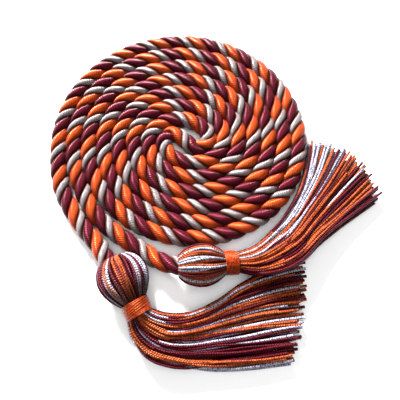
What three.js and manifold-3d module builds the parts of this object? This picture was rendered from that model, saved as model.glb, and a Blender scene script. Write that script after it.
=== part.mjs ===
import * as THREE from 'three';
import Module from 'manifold-3d';

// Honor cord laid flat as a double spiral, with a tassel on each end. Millimetres, +Z up.
// Plan lists are in turn pitches, so the whole layout follows the cord's thickness.

// Cord
const cordWide = 6.85; // across one turn of the laid cord
const turnGap = 0.35; // between neighbouring turns
const turnPitch = cordWide + turnGap;
const cordTall = 7.2; // from the table to the top of the cord
const cordSides = 10; // facets round the cord, one of them flat on the table

// Coil: each turn lies one pitch outside the turn inside it
const coilStart = -0.683; // where the spiral's pitch count begins, in pitches
const coilOval = 0.235; // how much longer the coil is than wide, in pitches
const coilOvalAngle = THREE.MathUtils.degToRad(-10.2);
const stepsPerHalfTurn = 12;
const innerHalfTurns = 1.75; // both arms begin here
const armHalfTurns = { first: 9, second: 8.0833 }; // each arm leaves the coil here

// S bend that joins the two arms, in pitches
const heartList = [
  [0.903, -0.528],
  [0.417, -0.444],
  [0, -0.05],
  [-0.444, 0.319],
  [-0.917, 0.5],
];

// Free ends, from the coil to the tassel: x and y in pitches, height of the cord's centre in cord heights
const firstEndList = [
  [-8.15, -3.14, 0.5],
  [-7.42, -4.6, 0.5],
  [-6.46, -5.93, 0.52],
  [-5.4, -7.1, 0.78],
  [-4.83, -7.93, 1.04],
  [-4.44, -8.52, 1.12],
];
const secondEndList = [
  [-6.2, -4.46, 0.5],
  [-5.08, -5.74, 0.5],
  [-3.88, -6.64, 0.5],
  [-2.7, -7.38, 0.54],
  [-1.6, -8.04, 0.78],
  [-0.45, -8.38, 1.02],
  [0.26, -8.4, 1.09],
];

// Tassels
const neckLong = 6.4; // bare neck, from the head to the skirt
const fitGap = 0.3; // clearance between pieces that sit inside one another
const headRibs = 14; // yarn bundles round the head
const ribDepth = 0.045; // part of the head's radius
const lockSides = 6;
const lockSteps = 6;
const lockWide = 0.175; // part of the fan's spread
const lockRootWide = 0.1; // added where the lock leaves the neck
const lockTall = 0.52; // part of the skirt's height
const lockTip = 0.55; // part of the section left at the tip
const bindingTurns = 7; // turns of the wound thread
const bindingThick = 1.15;
const bindingSides = 20;

// Head profile from crown to neck: how far along the head, and part of the full radius
const headRows = [
  { along: 0.0, radius: 0.5 },
  { along: 0.05, radius: 0.68 },
  { along: 0.16, radius: 0.87 },
  { along: 0.32, radius: 0.98 },
  { along: 0.47, radius: 1.0 },
  { along: 0.64, radius: 0.93 },
  { along: 0.8, radius: 0.79 },
  { along: 0.92, radius: 0.66 },
];

// Skirts: edges of the fan in plan, in pitches; height of the yarn mass, and how far the far edge is lifted
const firstFan = [
  { upX: -1.99, upY: -10.87, lowX: -3.34, lowY: -11.58, tall: 9.2, base: 1.9, lift: 0 },
  { upX: -1.08, upY: -11.13, lowX: -3.14, lowY: -12.58, tall: 9.4, base: 0.7, lift: 0 },
  { upX: 0.36, upY: -11.13, lowX: -2.29, lowY: -13.6, tall: 8.4, base: 0, lift: 0 },
  { upX: 1.96, upY: -10.43, lowX: -0.62, lowY: -14.19, tall: 7.2, base: 0, lift: 0 },
  { upX: 3.64, upY: -9.33, lowX: 1.32, lowY: -14.39, tall: 6.2, base: 0, lift: 0 },
  { upX: 5.49, upY: -8.52, lowX: 3.75, lowY: -14.33, tall: 5.4, base: 0, lift: 0 },
  { upX: 7.5, upY: -8.1, lowX: 6.46, lowY: -14.03, tall: 4.6, base: 0, lift: 0 },
];
const secondFan = [
  { upX: 3.29, upY: -7.52, lowX: 3.27, lowY: -8.74, tall: 8.0, base: 2.2, lift: 0 },
  { upX: 4.28, upY: -7.14, lowX: 4.31, lowY: -8.93, tall: 8.8, base: 1.4, lift: 1.6 },
  { upX: 5.36, upY: -6.25, lowX: 5.62, lowY: -8.79, tall: 8.2, base: 0.4, lift: 3.6 },
  { upX: 6.4, upY: -5.06, lowX: 6.94, lowY: -8.29, tall: 7.2, base: 0, lift: 4.4 },
  { upX: 7.25, upY: -3.72, lowX: 8.33, lowY: -7.04, tall: 6.2, base: 0, lift: 2.6 },
  { upX: 7.87, upY: -2.08, lowX: 10.28, lowY: -5.6, tall: 5.4, base: 0, lift: 0.6 },
  { upX: 8.34, upY: 0.08, lowX: 12.8, lowY: -3.9, tall: 4.6, base: 0, lift: 0 },
];

// Locks of a skirt: place across the fan, place in its height, and part of the full length
const lockRows = [
  { across: 0.07, level: 0.35, length: 0.97 },
  { across: 0.2, level: 0.3, length: 1.0 },
  { across: 0.34, level: 0.28, length: 0.95 },
  { across: 0.49, level: 0.3, length: 1.0 },
  { across: 0.64, level: 0.28, length: 0.96 },
  { across: 0.79, level: 0.3, length: 1.0 },
  { across: 0.93, level: 0.35, length: 0.95 },
  { across: 0.16, level: 0.68, length: 0.9 },
  { across: 0.32, level: 0.74, length: 0.97 },
  { across: 0.5, level: 0.76, length: 0.91 },
  { across: 0.67, level: 0.74, length: 0.98 },
  { across: 0.84, level: 0.68, length: 0.92 },
];

const tasselRows = [
  {
    name: '1',
    crown: [-4.25, -7.9],
    bend: [-3.65, -9.3],
    neckEnd: [-2.65, -11.21],
    crownHeight: 8.0,
    neckHeight: 6.75,
    headWide: 21.8,
    headTall: 17.2,
    neckWide: 9.7,
    neckTall: 9.2,
    fan: firstFan,
    bulge: 0.4,
    cordEnd: firstEndList,
  },
  {
    name: '2',
    crown: [-0.37, -8.46],
    bend: [1.45, -8.3],
    neckEnd: [3.27, -8.13],
    crownHeight: 7.8,
    neckHeight: 6.3,
    headWide: 18.4,
    headTall: 16.8,
    neckWide: 8.2,
    neckTall: 8.2,
    fan: secondFan,
    bulge: 1.2,
    cordEnd: secondEndList,
  },
];

const cordColour = 0xa2482b;
const tasselColour = 0xa65a3e;
const bindingColour = 0xc9551f;

const wasm = await Module();
wasm.setup();

const up = new THREE.Vector3(0, 0, 1);
const honorCord = new THREE.Group();
honorCord.name = 'honor_cord';

// Closed skin over a row of rings, each a loop of the same number of points
function closedSkin(rings) {
  const around = rings[0].length;
  const points = rings.flat();
  const faces = [];
  for (let row = 0; row < rings.length - 1; row += 1) {
    for (let i = 0; i < around; i += 1) {
      const a = row * around + i;
      const b = row * around + ((i + 1) % around);
      faces.push([a, b, b + around], [a, b + around, a + around]);
    }
  }
  const last = (rings.length - 1) * around;
  for (let i = 1; i < around - 1; i += 1) {
    faces.push([0, i + 1, i], [last, last + i, last + i + 1]);
  }
  return outward({ points, faces });
}

// Faces turned so that the skin encloses a positive volume
function outward(skin) {
  let volume = 0;
  for (const [a, b, c] of skin.faces) {
    const cross = new THREE.Vector3().crossVectors(skin.points[b], skin.points[c]);
    volume += skin.points[a].dot(cross);
  }
  if (volume < 0) {
    skin.faces = skin.faces.map(([a, b, c]) => [a, c, b]);
  }
  return skin;
}

function asSolid(skin) {
  const vertProperties = new Float32Array(skin.points.flatMap((p) => [p.x, p.y, p.z]));
  const triVerts = new Uint32Array(skin.faces.flat());
  return new wasm.Manifold(new wasm.Mesh({ numProp: 3, vertProperties, triVerts }));
}

function solidGeometry(solid) {
  const mesh = solid.getMesh();
  const geometry = new THREE.BufferGeometry();
  geometry.setAttribute('position', new THREE.BufferAttribute(mesh.vertProperties, 3));
  geometry.setIndex(new THREE.BufferAttribute(mesh.triVerts, 1));
  geometry.computeVertexNormals();
  return geometry;
}

function addPiece(name, solid, color, roughness) {
  const material = new THREE.MeshStandardMaterial({ color, roughness, metalness: 0 });
  const piece = new THREE.Mesh(solidGeometry(solid), material);
  piece.name = name;
  honorCord.add(piece);
}

// Upright section of a sweep, square to the path between its neighbours
function sectionsAlong(path, outline) {
  return path.map((point, i) => {
    const before = path[Math.max(i - 1, 0)];
    const after = path[Math.min(i + 1, path.length - 1)];
    const into = point.clone().sub(before).normalize();
    const onward = after.clone().sub(point).normalize();
    const travel = into.add(onward).normalize();
    const side = new THREE.Vector3().crossVectors(travel, up).normalize();
    const rise = new THREE.Vector3().crossVectors(side, travel);
    return outline(i).map(([x, y]) => point.clone().addScaledVector(side, x).addScaledVector(rise, y));
  });
}

// Oval outline with a flat facet underneath
function ovalOutline(wide, tall, sides) {
  const loop = [];
  for (let i = 0; i < sides; i += 1) {
    const angle = (2 * Math.PI * (i + 0.5)) / sides - Math.PI / 2;
    loop.push([(wide / 2) * Math.cos(angle), ((tall / 2) * Math.sin(angle)) / Math.cos(Math.PI / sides)]);
  }
  return loop;
}

// Point of a spiral arm, from the distance of its tangent line to the coil's centre
function armPoint(halfTurns, side) {
  const angle = halfTurns * Math.PI;
  const oval = 2 * (angle - coilOvalAngle);
  const reach = halfTurns + coilStart + coilOval * Math.cos(oval);
  const growth = 1 / Math.PI - 2 * coilOval * Math.sin(oval);
  const x = reach * Math.cos(angle) - growth * Math.sin(angle);
  const y = reach * Math.sin(angle) + growth * Math.cos(angle);
  return new THREE.Vector3(side * x * turnPitch, side * y * turnPitch, cordTall / 2);
}

function armPath(outerHalfTurns, side) {
  const steps = Math.round((outerHalfTurns - innerHalfTurns) * stepsPerHalfTurn);
  const path = [];
  for (let i = 0; i <= steps; i += 1) {
    path.push(armPoint(innerHalfTurns + i / stepsPerHalfTurn, side));
  }
  return path;
}

function handPath(list) {
  return list.map(([x, y, height = 0.5]) => (
    new THREE.Vector3(x * turnPitch, y * turnPitch, height * cordTall)
  ));
}

// Whole route of the cord, from the first tassel's end to the second's
function cordRoute() {
  const points = [
    ...handPath(firstEndList).reverse(),
    ...armPath(armHalfTurns.first, 1).reverse(),
    ...handPath(heartList),
    ...armPath(armHalfTurns.second, -1),
    ...handPath(secondEndList),
  ];
  return new THREE.CatmullRomCurve3(points, false, 'centripetal');
}

// Rings of the coil stay at equal angles; the ends and the S bend get one more ring between points
function cordPath() {
  const curve = cordRoute();
  const spans = curve.points.length - 1;
  const firstArm = firstEndList.length;
  const heart = firstArm + armPath(armHalfTurns.first, 1).length;
  const secondArm = heart + heartList.length;
  const path = [];
  for (let i = 0; i <= spans; i += 1) {
    path.push(curve.getPoint(i / spans));
    const isCoil = (i >= firstArm && i < heart - 4) || (i >= secondArm + 3 && i < spans - secondEndList.length);
    if (!isCoil && i < spans) {
      path.push(curve.getPoint((i + 0.5) / spans));
    }
  }
  return path;
}

// Cord
const laidPath = cordPath();
const cordOutline = ovalOutline(cordWide, cordTall, cordSides);
const cordSolid = asSolid(closedSkin(sectionsAlong(laidPath, () => cordOutline)));
addPiece('cord', cordSolid, cordColour, 0.5);

// Pocket in a crown: the cord's end, a little wider and longer
function pocketSolid(list) {
  const points = handPath(list.slice(-3));
  const last = points[2];
  const travel = last.clone().sub(points[1]).normalize();
  points.push(last.clone().addScaledVector(travel, fitGap));
  const outline = ovalOutline(cordWide + 2 * fitGap + 0.2, cordTall + 2 * fitGap + 0.2, 16);
  const curve = new THREE.CatmullRomCurve3(points.slice(0, 3), false, 'centripetal');
  const path = curve.getPoints(6);
  path.push(points[3]);
  return asSolid(closedSkin(sectionsAlong(path, () => outline)));
}

// Ribbed oval outline of the head; the ribs fade towards the neck
function ribbedOutline(wide, tall, depth) {
  const loop = [];
  for (let i = 0; i < 2 * headRibs; i += 1) {
    const angle = (Math.PI * i) / headRibs;
    const swell = 1 + depth * (i % 2 === 0 ? 1 : -1);
    loop.push([(wide / 2) * swell * Math.cos(angle), (tall / 2) * swell * Math.sin(angle)]);
  }
  return loop;
}

// Line through a head: it bends from the crown to the neck, which is straight
function headAxis(row) {
  const crown = new THREE.Vector3(row.crown[0] * turnPitch, row.crown[1] * turnPitch, row.crownHeight);
  const neckEnd = new THREE.Vector3(row.neckEnd[0] * turnPitch, row.neckEnd[1] * turnPitch, row.neckHeight);
  const middle = (row.crownHeight + row.neckHeight) / 2;
  const bend = new THREE.Vector3(row.bend[0] * turnPitch, row.bend[1] * turnPitch, middle);
  const travel = neckEnd.clone().sub(bend).normalize();
  const neckStart = neckEnd.clone().addScaledVector(travel, -neckLong);
  const axis = new THREE.QuadraticBezierCurve3(crown, bend, neckStart);
  return { axis, neckStart, neckEnd, travel };
}

function headSolid(row) {
  const { axis, neckStart, travel } = headAxis(row);
  const path = [];
  const outlines = [];
  for (const { along, radius } of headRows) {
    path.push(axis.getPoint(along));
    outlines.push(ribbedOutline(row.headWide * radius, row.headTall * radius, ribDepth));
  }
  for (const distance of [0, neckLong, neckLong + 2]) {
    path.push(neckStart.clone().addScaledVector(travel, distance));
    outlines.push(ribbedOutline(row.neckWide, row.neckTall, 0));
  }
  return asSolid(closedSkin(sectionsAlong(path, (i) => outlines[i])));
}

// Place in the skirt's fan: distance along it, across it and up its height, each from 0 to 1
function fanPoint(row, along, across, level) {
  const last = row.fan.length - 1;
  const edges = { up: [], low: [] };
  for (const { upX, upY, lowX, lowY, base, tall, lift } of row.fan) {
    edges.up.push(new THREE.Vector3(upX * turnPitch, upY * turnPitch, base + level * tall));
    edges.low.push(new THREE.Vector3(lowX * turnPitch, lowY * turnPitch, base + lift + level * tall));
  }
  const upEdge = new THREE.CatmullRomCurve3(edges.up, false, 'centripetal');
  const lowEdge = new THREE.CatmullRomCurve3(edges.low, false, 'centripetal');
  const point = upEdge.getPoint(along).lerp(lowEdge.getPoint(along), across);
  const travel = upEdge.getTangent(1).add(lowEdge.getTangent(1)).normalize();
  const swell = row.bulge * turnPitch * along ** 3 * 4 * across * (1 - across);
  return point.addScaledVector(travel, swell);
}

// One lock: an oval strand that fills its share of the fan and thins to a blunt tip
function lockSolid(row, lock) {
  const path = [];
  const outlines = [];
  for (let i = 0; i <= lockSteps; i += 1) {
    const along = (lock.length * i) / lockSteps;
    const station = Math.min(Math.floor(along * (row.fan.length - 1)), row.fan.length - 2);
    const part = along * (row.fan.length - 1) - station;
    const tall = THREE.MathUtils.lerp(row.fan[station].tall, row.fan[station + 1].tall, part);
    const spread = fanPoint(row, along, 0, 0.5).distanceTo(fanPoint(row, along, 1, 0.5));
    const tip = i === lockSteps ? lockTip : 1;
    const wide = spread * (lockWide + lockRootWide * (1 - along) ** 8);
    path.push(fanPoint(row, along, lock.across, lock.level));
    outlines.push(ovalOutline(tip * wide, tip * tall * lockTall, lockSides));
  }
  return asSolid(closedSkin(sectionsAlong(path, (i) => outlines[i])));
}

// Tassel: locks that spring from the end of the neck, fused to the head, flat where it rests
function tasselSolid(row) {
  const { neckEnd, travel } = headAxis(row);
  let skirt = lockSolid(row, lockRows[0]);
  for (const lock of lockRows.slice(1)) {
    skirt = skirt.add(lockSolid(row, lock));
  }
  const solid = headSolid(row).add(skirt.trimByPlane(travel.toArray(), travel.dot(neckEnd)));
  return outerSkin(solid.subtract(pocketSolid(row.cordEnd)).trimByPlane([0, 0, 1], 0));
}

// The mass of locks without the small voids enclosed between them
function outerSkin(solid) {
  const shells = solid.decompose();
  return shells.reduce((largest, shell) => (shell.volume() > largest.volume() ? shell : largest));
}

// Binding: a ring of wound thread, one ridge for each turn
function bindingSolid(row) {
  const { neckStart, travel } = headAxis(row);
  const long = neckLong - 2 * fitGap;
  const path = [];
  const grow = [];
  for (let i = 0; i <= 2 * bindingTurns; i += 1) {
    path.push(fitGap + (long * i) / (2 * bindingTurns));
    grow.push(bindingThick + (i % 2 === 0 ? -0.22 : 0));
  }
  const centres = path.map((distance) => neckStart.clone().addScaledVector(travel, distance));
  const outer = sectionsAlong(centres, (i) => (
    ovalOutline(row.neckWide + 2 * fitGap + 2 * grow[i], row.neckTall + 2 * fitGap + 2 * grow[i], bindingSides)
  ));
  const inner = [centres[0].clone().addScaledVector(travel, -1), centres.at(-1).clone().addScaledVector(travel, 1)];
  const bore = sectionsAlong(inner, () => (
    ovalOutline(row.neckWide + 2 * fitGap, row.neckTall + 2 * fitGap, bindingSides)
  ));
  return asSolid(closedSkin(outer)).subtract(asSolid(closedSkin(bore)));
}

for (const row of tasselRows) {
  addPiece(`tassel_${row.name}`, tasselSolid(row), tasselColour, 0.6);
  addPiece(`binding_${row.name}`, bindingSolid(row), bindingColour, 0.5);
}

export default honorCord;
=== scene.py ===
# %% [markdown]
# # Honor cord laid as a double spiral
# The real thing is a rope of three thick satin strands, orange, maroon and silver grey, twisted
# together. It is laid flat in two arms wound round each other, with an S bend in the middle. Each end
# goes into a tassel: a head of yarn loops, a neck bound with thread, and a skirt of loose yarns.
# The imported solids are loaded first. The tables below repeat the ones that they were made from, so each
# piece lies where its solid does.

# %% Load the imported solids
import math

import bpy
import numpy as np
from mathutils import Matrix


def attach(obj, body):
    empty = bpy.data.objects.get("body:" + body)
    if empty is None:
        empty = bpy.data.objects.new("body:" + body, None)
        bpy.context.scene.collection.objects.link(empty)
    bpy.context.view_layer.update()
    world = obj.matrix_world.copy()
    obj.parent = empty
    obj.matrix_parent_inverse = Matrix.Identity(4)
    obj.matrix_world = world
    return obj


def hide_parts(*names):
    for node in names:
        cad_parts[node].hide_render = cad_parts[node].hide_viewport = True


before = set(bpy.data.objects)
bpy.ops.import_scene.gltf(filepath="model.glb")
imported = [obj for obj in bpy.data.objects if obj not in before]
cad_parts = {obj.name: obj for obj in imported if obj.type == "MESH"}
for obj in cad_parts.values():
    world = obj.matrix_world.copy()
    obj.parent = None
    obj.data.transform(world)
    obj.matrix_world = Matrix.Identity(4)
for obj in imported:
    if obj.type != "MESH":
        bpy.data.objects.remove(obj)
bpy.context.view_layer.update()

print("solids:", sorted(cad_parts))

# %% Sizes in metres, the same as the solids'
MM = 0.001
PITCH = 7.2 * MM  # between neighbouring turns
CORD_THICK = 7.2 * MM
print("the rope is", CORD_THICK, "m thick and its turns lie", PITCH, "m apart")

# %% [markdown]
# ## Camera, light and table
# The photo looks down steeply from close by, so the far turns look narrower than the near ones. One
# bright lamp stands low at the back, a little to the left. It gives each strand its lit upper edge and a
# dark lower one. Two weak wide lamps and a pale room fill the shade, so the table stays nearly white.
# The camera comes before the pieces because the cord check measures what it sees.

# %% Camera
CAMERA_PLACE = (0.00661, -0.07763, 0.18376)
LOOK_DOWN = 75.04  # degrees below level


def place_camera():
    """A close camera, tilted a little from straight down."""
    data = bpy.data.cameras.new("photo_view")
    data.sensor_width = 36.0
    data.lens = 36.0
    data.clip_start = 0.01
    camera = bpy.data.objects.new("photo_view", data)
    camera.location = CAMERA_PLACE
    camera.rotation_euler = (math.radians(90 - LOOK_DOWN), 0, 0)
    bpy.context.scene.collection.objects.link(camera)
    bpy.context.scene.camera = camera
    return camera


camera = place_camera()
print("camera at", tuple(round(c, 4) for c in camera.location))


# %% Lamps, room light and table
def soft_lamp(name, place, aim, size, power):
    """A square area lamp that looks at a point. Places and sizes are in metres, the power in watts."""
    data = bpy.data.lights.new(name, "AREA")
    data.shape = "SQUARE"
    data.size = size
    data.energy = power
    lamp = bpy.data.objects.new(name, data)
    lamp.location = place
    away = np.array(place) - np.array(aim)
    flat = math.hypot(away[0], away[1])
    lamp.rotation_euler = (math.atan2(flat, away[2]), 0, math.atan2(away[1], away[0]) + math.pi / 2)
    bpy.context.scene.collection.objects.link(lamp)
    return lamp


def table_top():
    """A plain pale sheet under everything, a hair below the cord."""
    mesh = bpy.data.meshes.new("table_top")
    reach = 3.0
    low = -0.1 * MM
    mesh.from_pydata([(-reach, -reach, low), (reach, -reach, low), (reach, reach, low), (-reach, reach, low)],
                     [], [(0, 1, 2, 3)])
    table = bpy.data.objects.new("table_top", mesh)
    bpy.context.scene.collection.objects.link(table)
    paint = bpy.data.materials.new("pale_table")
    paint.use_nodes = True
    shader = paint.node_tree.nodes["Principled BSDF"]
    shader.inputs["Base Color"].default_value = (0.9, 0.9, 0.9, 1)
    shader.inputs["Roughness"].default_value = 0.9
    mesh.materials.append(paint)
    return table


soft_lamp("key", (-0.3, 0.75, 0.38), (0, -0.02, 0), 0.24, 90)
soft_lamp("fill", (0.5, -0.5, 0.7), (0, -0.02, 0), 0.9, 2.4)
soft_lamp("overhead", (0.0, 0.0, 1.1), (0, 0, 0), 0.9, 6.3)
room = bpy.data.worlds.new("room")
room.use_nodes = True
room.node_tree.nodes["Background"].inputs["Color"].default_value = (1, 1, 1, 1)
room.node_tree.nodes["Background"].inputs["Strength"].default_value = 0.5
bpy.context.scene.world = room
bpy.context.scene.view_settings.view_transform = "Standard"  # keeps the dyed colours as they are
table_top()
print("lit by a key lamp low at the back, a fill and an overhead")

# %% [markdown]
# ## Satin
# Each strand is wrapped in fine shiny threads that cross it almost squarely, and each yarn is a tiny
# knitted chain. Both are drawn from the piece's own UV map, where U goes round and V is the distance
# along in centimetres. The threads only dent the gloss and get painted shade in their grooves. The
# strands' sides, where they sink into the rope, and the heads near the neck get painted shade too. The
# form of every strand and yarn is real mesh. Single threads could be modelled too, but at this distance
# they are finer than the picture shows. Satin sends light back in its own colour, so its white gloss is
# kept low and the strands are a little metallic.


# %% Helpers for shader nodes
def linear(colour):
    """An sRGB colour, each part from 0 to 255, as the shader wants it."""
    parts = [c / 255 for c in colour]
    return tuple(c / 12.92 if c <= 0.04045 else ((c + 0.055) / 1.055) ** 2.4 for c in parts) + (1.0,)


def put(tree, kind, links=(), **settings):
    """Adds a node. Each link is an input's name or number, with a socket or a plain value."""
    node = tree.nodes.new(kind)
    for key, value in settings.items():
        setattr(node, key, value)
    for key, value in links:
        if isinstance(value, bpy.types.NodeSocket):
            tree.links.new(value, node.inputs[key])
        else:
            node.inputs[key].default_value = value
    return node


def sums(tree, operation, a, b=0.0):
    """One step of arithmetic."""
    return put(tree, "ShaderNodeMath", [(0, a), (1, b)], operation=operation).outputs[0]


# %% Satin of the rope's strands and of the yarns
# how fine the uneven patches are, how far they shift the colour, how far the painted shade between the thread
# ridges does, and the gloss
STRAND = {"grain": 900.0, "uneven": (-0.05, 0.4), "ridges": 0.55, "gloss": 0.18}
CHAIN = {"grain": 1000.0, "uneven": (-0.45, 0.8), "ridges": 0.75, "gloss": 0.35}
GROOVE_SHADE = (0.08, 0.225)  # painted shade on a strand's sides: part of the way round a strand where it begins to sink into the groove and the shade starts, and where the shade is full


def satin(name, dye_and_shade, kind, thread, slant, rough, depth):
    """Shiny thread: fine turns across a strand, or the V stitches of a chain yarn."""
    dark, light, shine, painted_shade_colour = dye_and_shade
    material = bpy.data.materials.new(name)
    material.use_nodes = True
    tree = material.node_tree
    shader = tree.nodes["Principled BSDF"]
    uv = put(tree, "ShaderNodeUVMap", uv_map="UVMap")
    parts = put(tree, "ShaderNodeSeparateXYZ", [(0, uv.outputs[0])])
    around, along = parts.outputs[0], parts.outputs[1]
    if kind is CHAIN:
        # two mirrored slants meet along the middle of each side of the yarn
        folded = sums(tree, "PINGPONG", around, 0.25)
        turn = sums(tree, "MULTIPLY", folded, 4 * slant)
    else:
        turn = sums(tree, "MULTIPLY", around, slant)
    phase = sums(tree, "ADD", sums(tree, "MULTIPLY", along, 10 * MM / thread), turn)
    wave = sums(tree, "SINE", sums(tree, "MULTIPLY", phase, 2 * math.pi))
    ridge = sums(tree, "MULTIPLY_ADD", wave, 0.5)
    ridge.node.inputs[2].default_value = 0.5
    place = put(tree, "ShaderNodeTexCoord").outputs["Object"]
    grain = put(tree, "ShaderNodeTexNoise", [("Vector", place), ("Scale", kind["grain"]), ("Detail", 3.0)])
    low, high = kind["uneven"]
    uneven = put(tree, "ShaderNodeMapRange", [
        ("Value", grain.outputs[0]), ("From Min", 0.3), ("From Max", 0.7), ("To Min", low), ("To Max", high)])
    # painted shade: the colour is darker between the thread ridges or stitches, mixed with random patches
    mix = sums(tree, "MULTIPLY_ADD", ridge, kind["ridges"])
    tree.links.new(uneven.outputs[0], mix.node.inputs[2])
    tone_and_ridge_shade = put(tree, "ShaderNodeMix", [(0, mix), (6, linear(dark)), (7, linear(light))], data_type="RGBA")
    if kind is CHAIN:
        # painted shade: where yarns are drawn together at a neck, little light comes between them, so the
        # colour darkens there
        painted_shade = put(tree, "ShaderNodeAttribute", attribute_name="shade").outputs["Fac"]
    else:
        # painted shade: the strand's sides are darkened where they sink into the grooves of the rope
        aside = sums(tree, "PINGPONG", around, 0.5)
        painted_shade = put(tree, "ShaderNodeMapRange", [
            ("Value", aside), ("From Min", GROOVE_SHADE[0]), ("From Max", GROOVE_SHADE[1]),
        ], interpolation_type="SMOOTHSTEP").outputs[0]
    shade = put(tree, "ShaderNodeMix", [(0, painted_shade), (6, tone_and_ridge_shade.outputs[2]), (7, linear(painted_shade_colour))],
                data_type="RGBA")
    tree.links.new(shade.outputs[2], shader.inputs["Base Color"])
    bump = put(tree, "ShaderNodeBump", [("Height", ridge), ("Strength", 0.7), ("Distance", depth)])
    tree.links.new(bump.outputs[0], shader.inputs["Normal"])
    if kind is STRAND:
        # threads that run round a strand stretch its shine into a line along the strand
        round_way = put(tree, "ShaderNodeTangent", direction_type="UV_MAP", uv_map="UVMap")
        tree.links.new(round_way.outputs[0], shader.inputs["Tangent"])
        shader.inputs["Anisotropic"].default_value = 0.9
        shader.inputs["Anisotropic Rotation"].default_value = 0.25
        shader.inputs["Metallic"].default_value = 0.12
    shader.inputs["Roughness"].default_value = rough
    shader.inputs["Specular IOR Level"].default_value = kind["gloss"]
    shader.inputs["Specular Tint"].default_value = linear(shine)
    return material


# each colour set: the threads' dark colour, shown as painted shade between their ridges and in random
# patches, their light colour, their shine, and the painted shade colour of the rope's grooves and the heads'
# necks
ORANGE = ((90, 26, 9), (158, 61, 25), (255, 150, 80), (86, 24, 11))
MAROON = ((30, 8, 11), (77, 17, 29), (160, 50, 90), (38, 11, 11))
SILVER = ((55, 47, 45), (124, 114, 116), (255, 255, 255), (62, 38, 32))
YARN_SILVER = ((46, 42, 50), (146, 142, 158), (246, 245, 255), (41, 29, 30))
YARN_ORANGE = ((51, 11, 5), (137, 55, 22), (255, 185, 130), (51, 13, 6))
YARN_MAROON = ((11, 2, 3), (60, 8, 18), (200, 80, 100), (11, 3, 3))
BAND_ORANGE = ((55, 10, 3), (137, 43, 11), (255, 170, 110), (56, 11, 4))
strand_satin = [
    satin(name + "_strand_satin", dye_and_shade, STRAND, thread=0.68 * MM, slant=5, rough=0.24, depth=0.18 * MM)
    for name, dye_and_shade in (("silver", SILVER), ("orange", ORANGE), ("maroon", MAROON))
]
yarn_satin = [
    satin(name + "_yarn_satin", dye_and_shade, CHAIN, thread=1.05 * MM, slant=0.5, rough=0.4, depth=0.4 * MM)
    for name, dye_and_shade in (("silver", YARN_SILVER), ("orange", YARN_ORANGE), ("maroon", YARN_MAROON))
]
binding_satin = satin("orange_binding_satin", BAND_ORANGE, CHAIN, thread=0.9 * MM, slant=1, rough=0.33,
                      depth=0.08 * MM)
print("materials:", [m.name for m in strand_satin + yarn_satin + [binding_satin]])

# %% [markdown]
# ## The way the rope lies
# A spiral whose turns touch is drawn best from its tangent lines: the distance from the centre to the
# tangent grows by one pitch in each half turn, so every turn lies exactly one pitch outside the turn
# inside it. A small oval term makes the coil a little longer than wide, as the S bend does. Only the S
# bend and the two free ends are listed point by point, in turn pitches, with the height in rope thicknesses.
# A coil drawn point by point would need over a hundred places, and its gaps would hardly be even.

# %% Listed points, the same as the solids'
HEART = [(0.903, -0.528), (0.417, -0.444), (0, -0.05), (-0.444, 0.319), (-0.917, 0.5)]
FIRST_END = [(-8.15, -3.14, 0.5), (-7.42, -4.6, 0.5), (-6.46, -5.93, 0.52), (-5.4, -7.1, 0.78),
             (-4.83, -7.93, 1.04), (-4.44, -8.52, 1.12)]
SECOND_END = [(-6.2, -4.46, 0.5), (-5.08, -5.74, 0.5), (-3.88, -6.64, 0.5), (-2.7, -7.38, 0.54),
              (-1.6, -8.04, 0.78), (-0.45, -8.38, 1.02), (0.26, -8.4, 1.09)]


# %% Coil arms
ARM_START = 1.75  # half turns, where both arms leave the S bend
ARM_POINTS = (88, 77)  # on the first arm and on the second
HALF_TURN_POINTS = 12
TIGHTER = 0.683  # pitches by which the arms are drawn in towards the centre
OVAL = 0.235  # pitches by which the coil reaches further along its long way
OVAL_WAY = math.radians(-10.2)


def arm_point(half_turns, side):
    """A point of one arm, from the distance of its tangent line to the centre."""
    angle = half_turns * math.pi
    oval = 2 * (angle - OVAL_WAY)
    reach = half_turns - TIGHTER + OVAL * math.cos(oval)
    growth = 1 / math.pi - 2 * OVAL * math.sin(oval)
    x = reach * math.cos(angle) - growth * math.sin(angle)
    y = reach * math.sin(angle) + growth * math.cos(angle)
    return (side * x * PITCH, side * y * PITCH, CORD_THICK / 2)


def by_hand(rows):
    """Listed rows turned to metres."""
    return [(row[0] * PITCH, row[1] * PITCH, (row[2] if len(row) > 2 else 0.5) * CORD_THICK) for row in rows]


def smooth_line(points, places):
    """Points of the smooth curve through the given ones; places run from 0 to 1."""
    p = np.array(points, float)
    p = np.vstack([2 * p[0] - p[1], p, 2 * p[-1] - p[-2]])
    place = np.clip(places, 0, 1) * (len(p) - 3)
    i = np.minimum(place.astype(int), len(p) - 4)
    u = (place - i)[:, None]
    a, b, c, d = p[i], p[i + 1], p[i + 2], p[i + 3]
    ab, bc, cd = (np.linalg.norm(q - r, axis=1, keepdims=True) ** 0.5 for q, r in ((b, a), (c, b), (d, c)))
    leave = bc * ((b - a) / ab - (c - a) / (ab + bc)) + (c - b)
    arrive = (c - b) + bc * ((d - c) / cd - (d - b) / (bc + cd))
    return (b + u * leave + u**2 * (3 * (c - b) - 2 * leave - arrive)
            + u**3 * (2 * (b - c) + leave + arrive))


def even_steps(line, step):
    """The same line cut again into equal steps."""
    run = np.concatenate([[0], np.cumsum(np.linalg.norm(np.diff(line, axis=0), axis=1))])
    places = np.linspace(0, run[-1], int(round(run[-1] / step)) + 1)
    return np.stack([np.interp(places, run, line[:, k]) for k in range(3)], axis=1)


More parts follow.
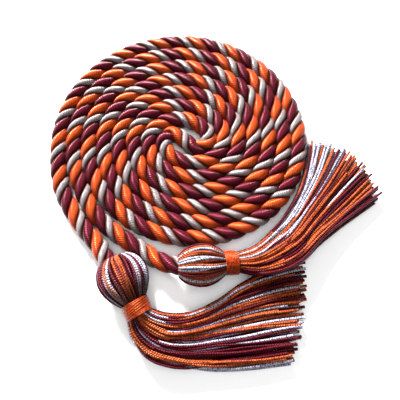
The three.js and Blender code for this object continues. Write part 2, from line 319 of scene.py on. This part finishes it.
# %% Whole route, from the first tassel to the second
first_arm, second_arm = ([arm_point(ARM_START + i / HALF_TURN_POINTS, side) for i in range(count)]
                         for count, side in zip(ARM_POINTS, (1, -1)))
route = by_hand(FIRST_END)[::-1] + first_arm[::-1] + by_hand(HEART) + second_arm + by_hand(SECOND_END)
rope_line = even_steps(smooth_line(route, np.linspace(0, 1, 12 * len(route))), 0.9 * MM)
rope_line[:, 2] += 0.2 * MM  # the strands bulge a little past the rope's mean thickness
rope_run = np.concatenate([[0], np.cumsum(np.linalg.norm(np.diff(rope_line, axis=0), axis=1))])
heart_run = rope_run[np.argmin(np.linalg.norm(rope_line - by_hand(HEART)[2], axis=1))]
print(len(route), "route points; the rope is", round(rope_run[-1], 4), "m long and its middle lies at",
      round(heart_run, 4), "m")

# %% [markdown]
# ## From lines to thread
# Every strand and yarn starts as a bare line of points. A Geometry Nodes tree turns the lines to curves
# and puts a round or oval section on them. The lines carry how thick the thread is at each point and
# which of the three colours it has, so the same few nodes serve the rope, heads, skirts and bindings.


# %% Bare lines as a mesh
def line_mesh(name, lines):
    """Edges only. Each line is a dict of points with, for each point, thick, tint, turn and shade."""
    mesh = bpy.data.meshes.new(name)
    points = np.vstack([line["points"] for line in lines])
    starts = np.cumsum([0] + [len(line["points"]) for line in lines])
    edges = np.vstack([np.stack([np.arange(a, b - 1), np.arange(a + 1, b)], axis=1)
                       for a, b in zip(starts, starts[1:])])
    mesh.vertices.add(len(points))
    mesh.vertices.foreach_set("co", points.ravel())
    mesh.edges.add(len(edges))
    mesh.edges.foreach_set("vertices", edges.ravel())
    for key, kind in (("thick", "FLOAT"), ("turn", "FLOAT"), ("shade", "FLOAT"), ("tint", "INT")):
        values = np.concatenate([np.broadcast_to(line.get(key, 0), len(line["points"])) for line in lines])
        values = values.astype(np.int32 if kind == "INT" else np.float32)
        mesh.attributes.new(key, kind, "POINT").data.foreach_set("value", values)
    return mesh


# %% Parts of a tree
def new_tree(name, sizes):
    """A tree with a geometry input and output, and a named input for each size."""
    tree = bpy.data.node_groups.new(name, "GeometryNodeTree")
    tree.interface.new_socket("Geometry", in_out="INPUT", socket_type="NodeSocketGeometry")
    tree.interface.new_socket("Geometry", in_out="OUTPUT", socket_type="NodeSocketGeometry")
    for size in sizes:
        tree.interface.new_socket(size, in_out="INPUT", socket_type="NodeSocketFloat")
    return tree, put(tree, "NodeGroupInput").outputs


def named(tree, name, kind="FLOAT"):
    """What a point of the line carries under that name."""
    return put(tree, "GeometryNodeInputNamedAttribute", [("Name", name)], data_type=kind).outputs[0]


def store(tree, geometry, name, value, domain="POINT", kind="FLOAT"):
    """The geometry with a value kept on it under a name."""
    return put(tree, "GeometryNodeStoreNamedAttribute", [
        ("Geometry", geometry), ("Name", name), ("Value", value),
    ], domain=domain, data_type=kind).outputs[0]


def vector(tree, operation, a, b=(0, 0, 0)):
    """One step of arithmetic on directions; for SCALE, b is a size."""
    second = "Scale" if operation == "SCALE" else 1
    return put(tree, "ShaderNodeVectorMath", [(0, a), (second, b)], operation=operation).outputs[0]


def skin(tree, curve, profile, scale, finishes):
    """Closed tubes round the curves, with a UV map round and along them, each tint in its finish."""
    length = put(tree, "GeometryNodeSplineParameter")
    curve = store(tree, curve, "along", length.outputs["Length"])
    profile = store(tree, profile, "around", length.outputs["Factor"])
    tube = put(tree, "GeometryNodeCurveToMesh", [
        ("Curve", curve), ("Profile Curve", profile), ("Scale", scale), ("Fill Caps", True)]).outputs[0]
    # the last strip of faces runs from the end of the map back to 0; its far corners are lifted by 1
    around = named(tree, "around")
    middle = put(tree, "GeometryNodeFieldOnDomain", [("Value", around)], domain="FACE").outputs[0]
    lifted = sums(tree, "GREATER_THAN", sums(tree, "SUBTRACT", middle, around), 0.25)
    flat = put(tree, "ShaderNodeCombineXYZ", [("X", sums(tree, "ADD", around, lifted)),
                                              ("Y", sums(tree, "MULTIPLY", named(tree, "along"), 100.0))])
    tube = store(tree, tube, "UVMap", flat.outputs[0], domain="CORNER", kind="FLOAT2")
    tube = put(tree, "GeometryNodeSetShadeSmooth", [("Geometry", tube)]).outputs[0]
    tube = put(tree, "GeometryNodeRealizeInstances", [("Geometry", tube)]).outputs[0]
    tube = put(tree, "GeometryNodeSetMaterial", [("Geometry", tube), ("Material", finishes[0])]).outputs[0]
    for tint, finish in list(enumerate(finishes))[1:]:
        same = put(tree, "FunctionNodeCompare", [(2, named(tree, "tint", "INT")), (3, tint)],
                   data_type="INT", operation="EQUAL")
        tube = put(tree, "GeometryNodeSetMaterial", [("Geometry", tube), ("Selection", same.outputs[0]),
                                                     ("Material", finish)]).outputs[0]
    put(tree, "NodeGroupOutput", [("Geometry", tube)])


def grow(name, lines, tree, **sizes):
    """Runs a tree on bare lines and keeps the plain mesh that comes out."""
    piece = bpy.data.objects.new(name, line_mesh(name, lines))
    bpy.context.scene.collection.objects.link(piece)
    nodes = piece.modifiers.new("thread", "NODES")
    nodes.node_group = tree
    for socket in tree.interface.items_tree:
        if socket.name.replace(" ", "_") in sizes:
            nodes[socket.identifier] = sizes[socket.name.replace(" ", "_")]
    seen = piece.evaluated_get(bpy.context.evaluated_depsgraph_get())
    bare, piece.data = piece.data, bpy.data.meshes.new_from_object(seen)
    piece.modifiers.remove(nodes)
    bpy.data.meshes.remove(bare)
    piece.data.name = name
    triangles = sum(len(face.vertices) - 2 for face in piece.data.polygons)
    print(name, len(lines), "lines,", triangles, "triangles,", [m.name for m in piece.data.materials])
    return piece


# %% [markdown]
# ## Rope
# Three strands wind round the route, clockwise as they run away from the eye. The script hands the tree
# the route three times. Each line carries how far round the rope its strand is and how thick it is, as
# the silver strand is thinner than the other two. The tree pushes each line out to its place, a little
# further sideways than upwards, as a rope on a table sags. It gives it an oval section, because the
# strands press each other flat: that is why each shows as a long leaf with pointed ends. The twist is
# tighter in the S bend, where the real rope is bent hardest.


# %% Tree that lays the rope
def rope_tree(finishes):
    """One oval strand round each line; the line says how far round it is and how thick."""
    tree, sizes = new_tree("lay_rope", ("Rope radius", "Strand width", "Strand depth", "Sag"))
    line = put(tree, "GeometryNodeMeshToCurve", [("Mesh", sizes["Geometry"])]).outputs[0]
    angle = sums(tree, "MULTIPLY", named(tree, "turn"), 2 * math.pi)
    travel = put(tree, "GeometryNodeInputTangent").outputs[0]
    side = vector(tree, "NORMALIZE", vector(tree, "CROSS_PRODUCT", travel, (0, 0, 1)))
    rise = vector(tree, "CROSS_PRODUCT", side, travel)
    sideways = vector(tree, "SCALE", side, sums(tree, "MULTIPLY", sums(tree, "SINE", angle), sizes["Sag"]))
    upwards = vector(tree, "SCALE", rise, sums(tree, "COSINE", angle))
    # the way out is kept on the line, as moving the points would bend it
    line = store(tree, line, "out", vector(tree, "ADD", sideways, upwards), kind="FLOAT_VECTOR")
    out = named(tree, "out", "FLOAT_VECTOR")
    depth = sums(tree, "MULTIPLY", sizes["Strand depth"], named(tree, "thick"))
    reach = sums(tree, "SUBTRACT", sizes["Rope radius"], sums(tree, "MULTIPLY", depth, 0.5))
    push = vector(tree, "SCALE", out, reach)
    line = put(tree, "GeometryNodeSetPosition", [("Geometry", line), ("Offset", push)]).outputs[0]
    line = put(tree, "GeometryNodeSetCurveNormal", [("Curve", line), ("Normal", out)], mode="FREE").outputs[0]
    ring = put(tree, "GeometryNodeCurvePrimitiveCircle", [("Resolution", 14), ("Radius", 0.5)]).outputs[0]
    oval = put(tree, "ShaderNodeCombineXYZ", [
        ("X", sizes["Strand depth"]), ("Y", sizes["Strand width"]), ("Z", 1.0)]).outputs[0]
    ring = put(tree, "GeometryNodeTransform", [("Geometry", ring), ("Scale", oval)]).outputs[0]
    skin(tree, line, ring, named(tree, "thick"), finishes)
    return tree


# %% Rope piece
LAY = 19.3 * MM  # rope that one strand needs for a full turn
SHORTER = 2.6 * MM  # how much less it needs in the middle of the S bend
TIGHT_REACH = 60 * MM  # how far from the middle that is felt
SILVER_TOP = 0.8 * MM  # where the silver strand is on top, past the middle


def twists(run):
    """Number of twists up to each point, counted from where the silver strand is on top."""
    lay = LAY - SHORTER * np.exp(-((run - heart_run) / TIGHT_REACH) ** 2)
    count = np.concatenate([[0], np.cumsum(np.diff(run) / (lay[1:] + lay[:-1]) * 2)])
    return count - np.interp(heart_run + SILVER_TOP, run, count)


# silver, orange and maroon: how thick, and where round the rope as part of a turn
STRANDS = [(0.7, 0.0), (1.0, 0.315), (0.97, 0.685)]
strands = [{"points": rope_line, "turn": twists(rope_run) - place, "tint": k, "thick": size}
           for k, (size, place) in enumerate(STRANDS)]
rope = grow("rope", strands, rope_tree(strand_satin), Rope_radius=3.8 * MM, Strand_width=4.75 * MM,
            Strand_depth=3.5 * MM, Sag=1.16)
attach(rope, "root")
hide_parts("cord")

# %% [markdown]
# ## Tassels
# A tassel is a hank of yarn folded over the cord's end and bound at the neck. Above the binding the
# yarns bulge to a ball, below it they fall loose. Each skirt is a fan between two edges, given in turn
# pitches from the neck to the tips. The tables lay both tassels as they lie in the photo, and the
# colours follow it in bands, as the yarns of one colour tend to stay together.

# %% Tassel tables, with the places and sizes of the solids
NECK_LONG = 6.4 * MM
# each row: x and y of the upper edge, x and y of the lower edge, then in mm the height of the yarns,
# the height of their underside, and how much higher it is at the lower edge
FANS = {
    "tassel_1": [
        (-1.99, -10.87, -3.34, -11.58, 9.2, 1.9, 0), (-1.08, -11.13, -3.14, -12.58, 9.4, 0.7, 0),
        (0.36, -11.13, -2.29, -13.6, 8.4, 0, 0), (1.96, -10.43, -0.62, -14.19, 7.2, 0, 0),
        (3.64, -9.33, 1.32, -14.39, 6.2, 0, 0), (5.49, -8.52, 3.75, -14.33, 5.4, 0, 0),
        (7.5, -8.1, 6.46, -14.03, 4.6, 0, 0),
    ],
    "tassel_2": [
        (3.29, -7.52, 3.27, -8.74, 8.0, 2.2, 0), (4.28, -7.14, 4.31, -8.93, 8.8, 1.4, 1.6),
        (5.36, -6.25, 5.62, -8.79, 8.2, 0.4, 3.6), (6.4, -5.06, 6.94, -8.29, 7.2, 0, 4.4),
        (7.25, -3.72, 8.33, -7.04, 6.2, 0, 2.6), (7.87, -2.08, 10.28, -5.6, 5.4, 0, 0.6),
        (8.34, 0.08, 12.8, -3.9, 4.6, 0, 0),
    ],
}
# places in pitches with heights in mm; head and neck: width and height in mm; bulge: pitches by which the
# middle of the tips stands out; wrap: length of the winding and slant: of its turns, both in mm; shade: how
# dark the painted shade makes the head at the neck; bands: columns of the skirt, their colours, and columns
# they are off at first
TASSELS = {
    "tassel_1": {
        "crown": (-4.25, -7.9, 8.0), "bend": (-3.65, -9.3), "neck_end": (-2.65, -11.21, 6.75),
        "head": (21.8, 17.2), "neck": (9.7, 9.2), "bulge": 0.4, "wrap": 7.2, "slant": 0.3, "shade": 1.0,
        "head_order": "MMSMMMSOSOMOOOOMMSSMMSSM" + "MMOOSSMMOOMMSSMMOOSSMMOO",
        "bands": [(1, "M"), (1, "O"), (3, "SSM"), (1, "O"), (1, "M"), (2, "O"), (2, "SMO"), (3, "OOM"),
                  (2, "MO"), (7, "OOOOMS"), (1, "O"), (1, "M"), (1, "S"), (1, "M"), (1, "S"), (2, "M"),
                  (1, "SSM"), (1, "M"), (1, "MO"), (1, "SSM"), (1, "M"), (2, "M", 4), (3, "O", -2),
                  (1, "S", -2)],
    },
    "tassel_2": {
        "crown": (-0.37, -8.46, 7.8), "bend": (1.45, -8.3), "neck_end": (3.27, -8.13, 6.3),
        "head": (18.4, 16.8), "neck": (8.2, 8.2), "bulge": 1.2, "wrap": 6.4, "slant": 0.2, "shade": 0.5,
        "head_order": "OMOSSOOMOSSOOSSOOMSOOSMO" + "MMOOSSMMSSOOSSMMOOSSMMSS",
        "bands": [(1, "M"), (1, "SO"), (4, "S"), (1, "O"), (6, "SSSSSO"), (1, "SM"), (1, "M"), (2, "S"),
                  (1, "M"), (3, "OOM"), (2, "SO"), (2, "O"), (1, "M"), (2, "SOO"), (4, "OOOM"), (5, "OOM"),
                  (4, "M")],
    },
}
TINTS = "SOM"  # silver, orange, maroon
print("yarns in a head:", {name: len(row["head_order"]) for name, row in TASSELS.items()})


# %% Tree that spins yarns
def yarn_tree(name, sides, finishes):
    """A round tube on every line, as thick as the line says."""
    tree, sizes = new_tree(name, ())
    line = put(tree, "GeometryNodeMeshToCurve", [("Mesh", sizes["Geometry"])]).outputs[0]
    ring = put(tree, "GeometryNodeCurvePrimitiveCircle", [("Resolution", sides), ("Radius", 0.5)]).outputs[0]
    skin(tree, line, ring, named(tree, "thick"), finishes)
    return tree


spin_yarn = yarn_tree("spin_yarn", 6, yarn_satin)
spin_core = yarn_tree("spin_core", 24, [yarn_satin[2]])
spin_binding = yarn_tree("spin_binding", 8, [binding_satin])


# %% [markdown]
# ## Heads
# Each yarn leaves the crown, bulges over the ball and dives into the neck. One outline, turned round the
# bent middle line of the head, gives the way of all of them. Neighbours go in bundles of three with the
# middle yarn proud, each bundle leans a little at both ends, and every yarn waves and swells by itself. A
# ball with a yarn pattern would be less work, but its edge would be too smooth. A dark core stops the
# light between the yarns.

# %% Head and neck
# how far along the head, where 1 is the start of the neck, and how far out, where 1 is the widest
HEAD_PROFILE = [(0.14, 0.3), (0.04, 0.36), (0.0, 0.47), (0.05, 0.66), (0.16, 0.86), (0.32, 0.98), (0.47, 1.0),
                (0.64, 0.93), (0.8, 0.79), (0.92, 0.66), (1.02, 0.54), (1.2, 0.5)]
HEAD_STEPS = 100
rng = np.random.default_rng(7)


def unit(rows):
    """Each row as a direction of length 1."""
    return rows / np.linalg.norm(rows, axis=-1, keepdims=True)


def head_frame(row, along):
    """Middle of the head, which bends, and then of the straight neck, which starts at along = 1.

    With each place come the way on, the two directions square to it, and the head's length.
    """
    height = (row["crown"][2] + row["neck_end"][2]) / 2
    crown, bend, end = (np.array(point) * (PITCH, PITCH, MM)
                        for point in (row["crown"], (*row["bend"], height), row["neck_end"]))
    neck = end - NECK_LONG * unit(end - bend)
    long = np.linalg.norm(neck - crown)
    t = np.minimum(along, 1)[:, None]
    middle = (1 - t) ** 2 * crown + 2 * t * (1 - t) * bend + t * t * neck
    middle = middle + np.maximum(along - 1, 0)[:, None] * long * unit(end - bend)
    travel = unit((1 - t) * (bend - crown) + t * (neck - bend))
    side = unit(np.cross(travel, (0, 0, 1)))
    return middle, travel, side, np.cross(side, travel), long


def head_yarns(row):
    """Yarns that run from the crown over the ball to the neck, in bundles of three."""
    lines = []
    count = len(row["head_order"])
    girth = math.pi * sum(row["head"]) / 2 * MM
    lean = rng.uniform(-0.5, 0.5, count // 3)
    for i, letter in enumerate(row["head_order"]):
        steps = np.linspace(rng.uniform(0, 0.03), 1, HEAD_STEPS)
        profile = smooth_line([(along, out, 0) for along, out in HEAD_PROFILE], steps)
        middle, _, side, rise, _ = head_frame(row, profile[:, 0])
        wave = 0.05 * np.sin(rng.uniform(3, 6) * profile[:, 0] + rng.uniform(0, 6.3))
        place = i + 0.5 + 0.22 * (1 - i % 3) + lean[i // 3] * (1 - profile[:, 1])
        angle = 2 * math.pi * (place + rng.uniform(-0.12, 0.12)) / count + wave
        # a tenth thicker than its share of the girth, so that neighbours press, and thinner at the ends
        thick = 1.1 * girth / count * np.minimum(1, profile[:, 1] / 0.9) ** 0.7
        thick = thick * (1 + 0.04 * np.sin(np.arange(HEAD_STEPS) * 1.9 + rng.uniform(0, 6.3)))
        swell = 1 + 0.035 * (i % 3 == 1) - 0.02 * (i % 3 != 1) + rng.uniform(-0.02, 0.02)
        wide = row["head"][0] / 2 * MM * profile[:, 1] * swell - thick / 2
        tall = row["head"][1] / 2 * MM * profile[:, 1] * swell - thick / 2
        points = middle + (wide * np.cos(angle))[:, None] * side + (tall * np.sin(angle))[:, None] * rise
        points[:, 2] = np.maximum(points[:, 2], thick / 2)
        # painted shade: the head yarns darken towards the neck
        lines.append({"points": points, "thick": thick, "tint": TINTS.index(letter),
                      "shade": row["shade"] * np.clip((profile[:, 0] - 0.3) / 0.6, 0, 1)})
    return lines


def core_line(row):
    """Dark filling under the yarns, from inside the crown to the root of the skirt."""
    long = head_frame(row, np.ones(1))[-1]
    end = (long + NECK_LONG + 3 * MM) / long
    rows = [(0.16, 0.3)] + [(along, out - 0.2) for along, out in HEAD_PROFILE[4:9]]
    rows += [(0.93, 0.5), (1.0, 0.47), (1.2, 0.46), (end, 0.4)]
    profile = smooth_line([(along, out, 0) for along, out in rows], np.linspace(0, 1, 30))
    return {"points": head_frame(row, profile[:, 0])[0], "thick": row["head"][1] * MM * profile[:, 1]}


# %% [markdown]
# ## Bindings
# The neck is bound with one orange thread. Its turns lie a little closer than they are thick, so no yarn
# shows between them. A second, looser winding goes over the first and leans more, which gives the few
# crossing turns of a binding done by hand. A ring with ridges would lack them.

# %% Binding thread
WINDINGS = ((0.52, 0.0, 1.25), (0.95, 1.0, 1.45))  # turn to turn, further slant, and how far out, in mm
BINDING_THICK = 0.62  # mm


def binding_lines(row):
    """Thread wound closely round the neck, and over it a few loose turns that cross the first ones."""
    thick = BINDING_THICK
    long = head_frame(row, np.ones(1))[-1]
    lines = []
    for pitch, further, outer in WINDINGS:
        slant = row["slant"] + further
        turns = (row["wrap"] - thick - 2 * slant) / pitch
        angle = np.linspace(0, 2 * math.pi * turns, int(40 * turns))
        place = MM * (row["wrap"] / 2 + pitch * (angle / (2 * math.pi) - turns / 2) + slant * np.cos(angle))
        middle, _, side, rise, _ = head_frame(row, 1 + place / long)
        wide, tall = (size / 2 + outer - thick / 2 for size in row["neck"])
        round_neck = (wide * np.cos(angle))[:, None] * side + (tall * np.sin(angle))[:, None] * rise
        lines.append({"points": middle + MM * round_neck, "thick": thick * MM})
    return lines


# %% [markdown]
# ## Skirts
# Three layers of yarn leave the neck as one round bunch and flatten to a fan on the table. The roots
# are packed like the seeds of a sunflower and then sorted from side to side, so few yarns cross at the
# neck. Some stray on purpose and some are cut short, as in the photo. A simulation of falling yarn
# would look alike, but nobody could say where its tips would lie.

# %% Skirt
YARN_THICK = 1.26 * MM
LAYER_LEVELS = (0.86, 0.5, 0.14)  # each layer's height at the tips, from 0 to 1
LAYERS = len(LAYER_LEVELS)
YARN_STEPS = 60
SEED_TURN = 2.4  # radians from one root to the next


def fan_place(name, along, across, level):
    """Points of a fan: how far along it, across it and up its height, each from 0 to 1."""
    fan = np.array(FANS[name])
    floor = []
    for k in (0, 2):
        height = fan[:, 5] + fan[:, 6] * (k > 0)
        floor.append(np.stack([fan[:, k] * PITCH, fan[:, k + 1] * PITCH, height * MM], axis=1))
    tall = np.outer(fan[:, 4] * MM, (0, 0, 1))
    low, high = [], []
    for edge in floor:
        low.append(smooth_line(edge, along))
        high.append(smooth_line(edge + tall, along))
    across, level = np.reshape(across, (-1, 1)), np.reshape(level, (-1, 1))
    edges = [(1 - level) * low[k] + level * high[k] for k in (0, 1)]
    tips = [edge[-1] - edge[-2] for edge in floor]
    travel = sum(t / np.linalg.norm(t) for t in tips)
    travel = travel / np.linalg.norm(travel)
    swell = TASSELS[name]["bulge"] * PITCH * along[:, None] ** 3 * 4 * across * (1 - across)
    return (1 - across) * edges[0] + across * edges[1] + swell * travel


def ease(share):
    """The share kept from 0 to 1, with a gentle start and stop."""
    share = np.clip(share, 0, 1)
    return share * share * (3 - 2 * share)


def skirt_roots(columns):
    """Places of the yarns in the round neck: columns from side to side, and in each from high to low."""
    ranks = np.arange(LAYERS * columns) + 0.5
    ways = np.stack([np.cos(SEED_TURN * ranks), np.sin(SEED_TURN * ranks)], axis=1)
    disc = np.sqrt(ranks / len(ranks))[:, None] * ways * 0.5 + 0.5
    disc = disc[np.argsort(disc[:, 0])].reshape(columns, LAYERS, 2)
    return [column[np.argsort(-column[:, 1])] for column in disc]


def skirt_yarns(name):
    """All yarns of a skirt, from a round bunch at the neck to the fan."""
    row = TASSELS[name]
    travel = head_frame(row, np.ones(1))[1][0]
    orders = ["".join(rng.choice(list(band[1])) for band in row["bands"] for _ in range(band[0]))
              for layer in range(LAYERS)]
    shifts = [(*band, 0)[2] for band in row["bands"] for _ in range(band[0])]
    columns = len(shifts)
    lines = []
    for column, roots in enumerate(skirt_roots(columns)):
        for layer in range(LAYERS):
            # one yarn in ten is cut short
            reach = rng.uniform(0.955, 1.0) - (rng.random() < 0.1) * rng.uniform(0.02, 0.1)
            along = np.linspace(0, reach, YARN_STEPS)
            spread = ease(along / 0.42)
            shift = shifts[column] * (1 - ease((along - 0.4) / 0.5))
            tip_across = (column + 0.5 + 0.3 * (layer - 1) + shift) / columns
            tip_level = LAYER_LEVELS[layer] + rng.uniform(-0.1, 0.1)
            # about one in eight strays from its place towards the tips
            drift = rng.normal(0, 0.014) + (rng.random() < 0.13) * rng.uniform(-0.13, 0.13)
            across = roots[layer][0] * (1 - spread) + tip_across * spread + drift * along**1.5
            level = roots[layer][1] * (1 - spread) + tip_level * spread
            for waves in (1.3, 3.1):
                phase = rng.uniform(0, 2 * math.pi)
                across = across + 0.011 / waves**0.6 * spread * np.sin(2 * math.pi * waves * along + phase)
                level = level + 0.05 / waves * spread * np.sin(2 * math.pi * waves * along + 1.7 * phase)
            across, level = np.clip(across, 0, 1), np.clip(level, 0.03, 0.97)
            points = fan_place(name, along, across, level)
            thick = YARN_THICK * (0.72 + 0.28 * np.clip(along / 0.3, 0, 1))
            # the yarn starts inside the neck
            points = np.vstack([points[0] - 3 * MM * travel, points])
            thick = np.concatenate([[thick[0]], thick])
            points[:, 2] = np.maximum(points[:, 2], thick / 2)
            lines.append({"points": points, "thick": thick, "tint": TINTS.index(orders[layer][column])})
    return lines


# %% Tassel pieces
for name, row in TASSELS.items():
    binding = name.replace("tassel", "binding")
    made = {
        name + "_head": grow(name + "_head", head_yarns(row), spin_yarn),
        name + "_core": grow(name + "_core", [core_line(row)], spin_core),
        name + "_skirt": grow(name + "_skirt", skirt_yarns(name), spin_yarn),
        binding + "_thread": grow(binding + "_thread", binding_lines(row), spin_binding),
    }
    for piece_name, piece in made.items():
        node = binding if piece_name.startswith(binding) else name
        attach(piece, "root")
        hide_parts(node)
